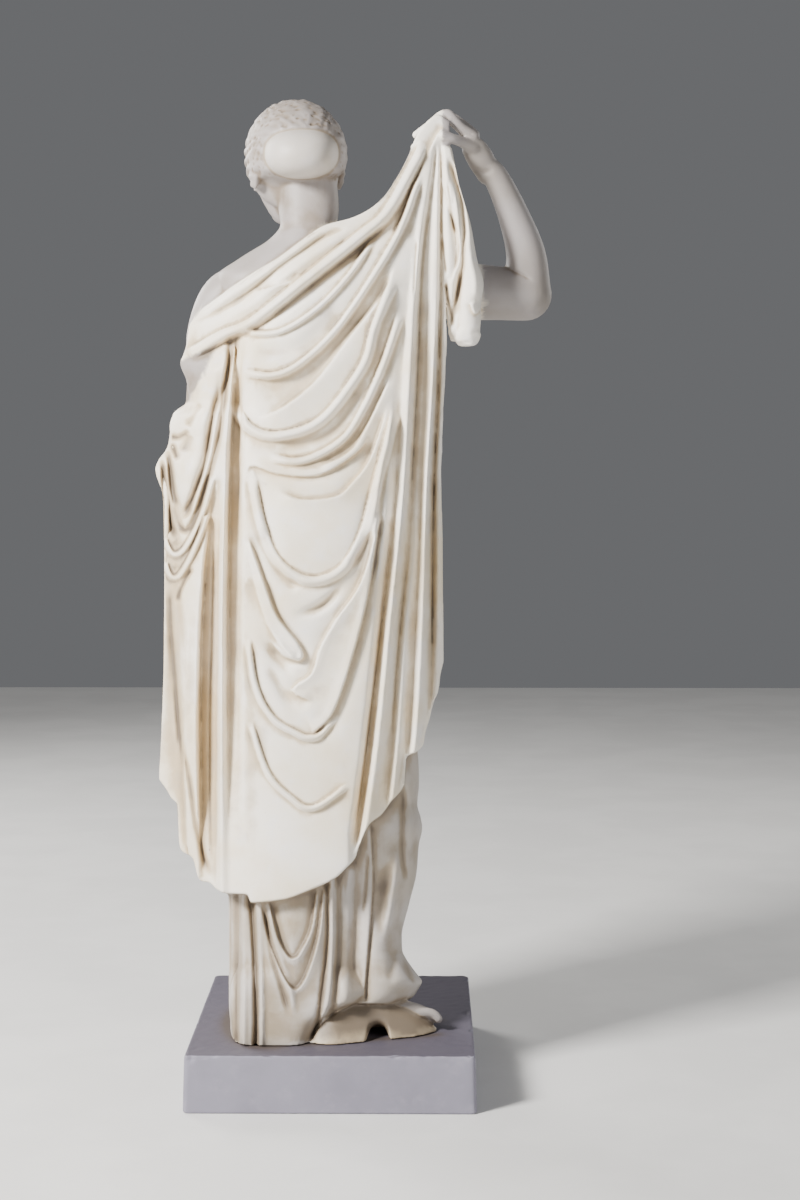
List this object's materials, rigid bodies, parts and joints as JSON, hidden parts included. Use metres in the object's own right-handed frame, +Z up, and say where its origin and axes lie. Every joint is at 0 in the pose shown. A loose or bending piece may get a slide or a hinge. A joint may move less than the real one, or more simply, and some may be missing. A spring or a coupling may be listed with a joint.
{
  "type": "classical marble statue",
  "caption": "Standing draped woman in marble, right hand raised to lift her mantle, on a low rectangular plinth.",
  "frame": {"origin": "centre of the plinth's underside", "axes": "+Z up, +Y the way the figure faces, +X to her right"},
  "size_m": [0.7104, 0.55, 1.7403],
  "materials": {
    "figure_marble": "honed marble, warm patina in the hollows",
    "plinth_marble": "rubbed grey marble"
  },
  "bodies": {
    "root": {"figure": "figure_marble", "plinth": "plinth_marble"}
  },
  "joints": []
}
